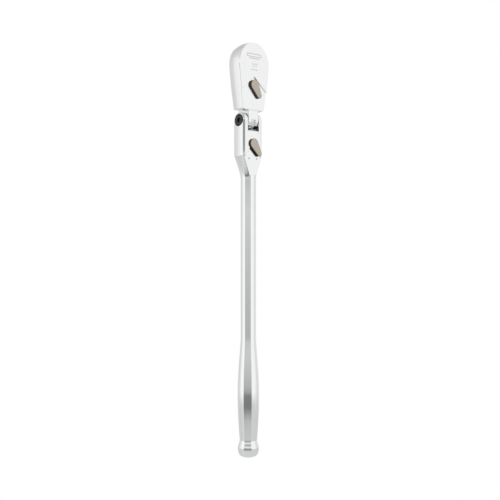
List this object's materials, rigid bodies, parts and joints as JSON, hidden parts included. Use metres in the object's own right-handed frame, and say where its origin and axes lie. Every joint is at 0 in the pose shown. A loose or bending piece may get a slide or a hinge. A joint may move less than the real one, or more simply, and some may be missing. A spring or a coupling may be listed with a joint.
{
  "type": "ratchet wrench",
  "caption": "Long polished ratchet wrench with a square drive, a reversing lever and a head that flexes on a locking hinge.",
  "frame": {"origin": "middle of the square drive's flat end", "axes": "+Z along the handle towards the head, +Y out of the square drive, thumb levers on the -Y side, +X to the right seen from the levers"},
  "size_m": [0.0436, 0.0361, 0.456],
  "materials": {
    "polished_chrome": "mirror polished plating",
    "cover_chrome": "polished plate",
    "gear_steel": "ground and hardened",
    "drive_chrome": "satin plating",
    "lever_satin": "warm satin cast steel",
    "black_oxide": "black oxide",
    "screw_steel": "plain turned",
    "spring_wire": "drawn wire",
    "washer_steel": "ground",
    "seal_rubber": "moulded"
  },
  "bodies": {
    "handle": {"handle": "polished_chrome", "pivot_screw": "black_oxide", "tang_washer_left": "washer_steel", "tang_washer_right": "washer_steel", "lock_seal": "seal_rubber", "lock_pin": "gear_steel", "lock_spring": "spring_wire"},
    "head": {"head_body": "polished_chrome", "cover_plate": "cover_chrome", "cover_screw_1": "screw_steel", "cover_screw_2": "screw_steel", "cover_screw_3": "screw_steel", "cover_screw_4": "screw_steel", "gear_washer": "gear_steel", "pawl_pin_left": "gear_steel", "pawl_pin_right": "gear_steel", "pawl_spring_left": "spring_wire", "pawl_spring_right": "spring_wire", "reverse_seal": "seal_rubber", "detent_ball": "gear_steel", "detent_spring": "spring_wire"},
    "drive": {"drive_gear": "drive_chrome", "anvil_spring": "spring_wire"},
    "ball": {"anvil_ball": "gear_steel"},
    "reverse": {"reverse_lever": "lever_satin", "reverse_cam": "gear_steel", "reverse_clip": "spring_wire"},
    "left_pawl": {"pawl_left": "gear_steel"},
    "right_pawl": {"pawl_right": "gear_steel"},
    "lock": {"lock_lever": "lever_satin"},
    "bolt": {"lock_bolt": "gear_steel"}
  },
  "joints": [
    {"name": "head_flex", "type": "hinge", "parent": "handle", "child": "head", "pos_m": [0, -0.024, -0.0595], "axis": [1, 0, 0], "range_deg": [-90, 90]},
    {"name": "drive_spin", "type": "hinge", "parent": "head", "child": "drive", "pos_m": [0, -0.024, 0], "axis": [0, 1, 0], "continuous": true},
    {"name": "ball_press", "type": "slide", "parent": "drive", "child": "ball", "axis": [1, 0, 0], "range_m": [0, 0.0009], "stiffness_N_per_m": 800, "springref_m": -0.0005, "deforming": ["anvil_spring"]},
    {"name": "reverse_turn", "type": "hinge", "parent": "head", "child": "reverse", "pos_m": [0, -0.024, -0.021], "axis": [0, 1, 0], "range_deg": [0, 60]},
    {"name": "left_pawl_swing", "type": "hinge", "parent": "head", "child": "left_pawl", "pos_m": [-0.01539, -0.024, -0.00439], "axis": [0, 1, 0], "range_deg": [-7, 0], "deforming": ["pawl_spring_left"]},
    {"name": "right_pawl_swing", "type": "hinge", "parent": "head", "child": "right_pawl", "pos_m": [0.01539, -0.024, -0.00439], "axis": [0, 1, 0], "range_deg": [-7, 0], "deforming": ["pawl_spring_right"]},
    {"name": "lock_turn", "type": "hinge", "parent": "handle", "child": "lock", "pos_m": [0, -0.024, -0.085], "axis": [0, 1, 0], "range_deg": [0, 70]},
    {"name": "bolt_slide", "type": "slide", "parent": "handle", "child": "bolt", "axis": [0, 0, 1], "range_m": [0, 0.0014], "deforming": ["lock_spring"]}
  ],
  "couplings": [
    {"joint": "left_pawl_swing", "follows": "reverse_turn", "ratio": -0.11667},
    {"joint": "right_pawl_swing", "follows": "reverse_turn", "ratio": -0.11667},
    {"joint": "bolt_slide", "follows": "lock_turn", "m_per_rad": 0.0011459}
  ]
}
